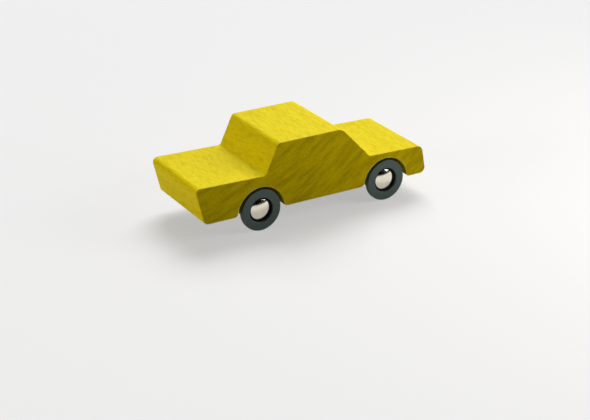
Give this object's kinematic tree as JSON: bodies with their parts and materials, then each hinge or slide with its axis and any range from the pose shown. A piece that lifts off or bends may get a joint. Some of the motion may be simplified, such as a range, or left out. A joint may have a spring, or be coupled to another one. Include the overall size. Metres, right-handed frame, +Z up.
{
  "type": "toy_car",
  "caption": "Toy car cut from one block of yellow-stained beech, with a stepped saloon outline, half-round wheel arches and thin grey rubber tyres with steel caps that roll freely on steel axles.",
  "frame": {"origin": "on the floor under the middle of the car: midway along its length and across its width", "axes": "+X to the car's front, the end with the longer, more sloped screen; +Y to its left side; +Z up"},
  "size_m": [0.1188, 0.042, 0.0395],
  "materials": {
    "stained_beech": "transparent yellow stain, satin",
    "grey_rubber": "matte",
    "black_nylon": "as moulded",
    "cap_steel": "polished plating",
    "axle_steel": "bright drawn",
    "grey_fibre": "pressed fibre"
  },
  "bodies": {
    "car": {"body": "stained_beech", "rear_axle_block": "stained_beech", "front_axle_block": "stained_beech", "rear_left_thrust_washer": "grey_fibre", "rear_right_thrust_washer": "grey_fibre", "front_left_thrust_washer": "grey_fibre", "front_right_thrust_washer": "grey_fibre"},
    "rear_axle_set": {"rear_axle": "axle_steel", "rear_left_star_washer": "axle_steel", "rear_right_star_washer": "axle_steel", "rear_left_cap": "cap_steel", "rear_right_cap": "cap_steel"},
    "front_axle_set": {"front_axle": "axle_steel", "front_left_star_washer": "axle_steel", "front_right_star_washer": "axle_steel", "front_left_cap": "cap_steel", "front_right_cap": "cap_steel"},
    "rear_left_wheel": {"rear_left_tyre": "grey_rubber", "rear_left_hub": "black_nylon"},
    "rear_right_wheel": {"rear_right_tyre": "grey_rubber", "rear_right_hub": "black_nylon"},
    "front_left_wheel": {"front_left_tyre": "grey_rubber", "front_left_hub": "black_nylon"},
    "front_right_wheel": {"front_right_tyre": "grey_rubber", "front_right_hub": "black_nylon"}
  },
  "joints": [
    {"name": "rear_axle_spin", "type": "hinge", "parent": "car", "child": "rear_axle_set", "pos_m": [-0.02768, 0, 0.00965], "axis": [0, 1, 0], "continuous": true},
    {"name": "front_axle_spin", "type": "hinge", "parent": "car", "child": "front_axle_set", "pos_m": [0.03762, 0, 0.00965], "axis": [0, 1, 0], "continuous": true},
    {"name": "rear_left_wheel_spin", "type": "hinge", "parent": "rear_axle_set", "child": "rear_left_wheel", "pos_m": [-0.02768, 0.018, 0.00965], "axis": [0, 1, 0], "continuous": true},
    {"name": "rear_right_wheel_spin", "type": "hinge", "parent": "rear_axle_set", "child": "rear_right_wheel", "pos_m": [-0.02768, -0.018, 0.00965], "axis": [0, 1, 0], "continuous": true},
    {"name": "front_left_wheel_spin", "type": "hinge", "parent": "front_axle_set", "child": "front_left_wheel", "pos_m": [0.03762, 0.018, 0.00965], "axis": [0, 1, 0], "continuous": true},
    {"name": "front_right_wheel_spin", "type": "hinge", "parent": "front_axle_set", "child": "front_right_wheel", "pos_m": [0.03762, -0.018, 0.00965], "axis": [0, 1, 0], "continuous": true}
  ]
}
